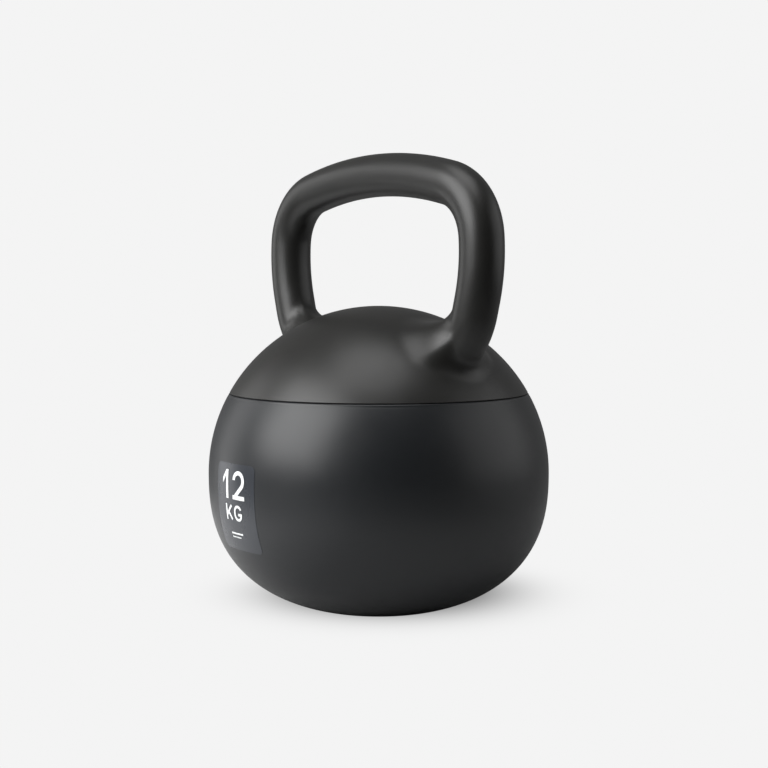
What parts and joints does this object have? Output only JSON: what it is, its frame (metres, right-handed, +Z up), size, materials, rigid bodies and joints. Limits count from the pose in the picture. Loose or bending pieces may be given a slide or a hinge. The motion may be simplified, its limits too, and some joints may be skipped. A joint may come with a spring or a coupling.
{
  "type": "soft-base kettlebell",
  "caption": "Round kettlebell with a rigid dome and looped handle over a soft sand-filled lower shell, flat base and printed weight mark.",
  "frame": {"origin": "centre of the flat base, on the floor that it stands on", "axes": "+Z up, X along the handle's grip, -Y towards the weight mark"},
  "size_m": [0.225, 0.2254, 0.2961],
  "materials": {
    "dome_plastic": "satin",
    "bar_steel": "satin",
    "plate_steel": "satin",
    "zinc_steel": "satin",
    "soft_vinyl": "satin",
    "ring_nylon": "satin",
    "seal_rubber": "matte",
    "iron_sand": "matte",
    "plug_rubber": "matte",
    "clear_film": "gloss",
    "white_print": "satin"
  },
  "bodies": {
    "root": {"upper_shell": "dome_plastic", "handle_core": "bar_steel", "anchor_plate": "plate_steel", "plate_screws": "zinc_steel", "core_washers": "zinc_steel", "core_nuts": "zinc_steel", "lower_shell": "soft_vinyl", "lock_ring": "ring_nylon", "seam_seal": "seal_rubber", "sand_fill": "iron_sand", "fill_plug": "plug_rubber", "label_film": "clear_film", "label_digits": "white_print", "label_unit": "white_print", "label_marks": "white_print"}
  },
  "joints": []
}
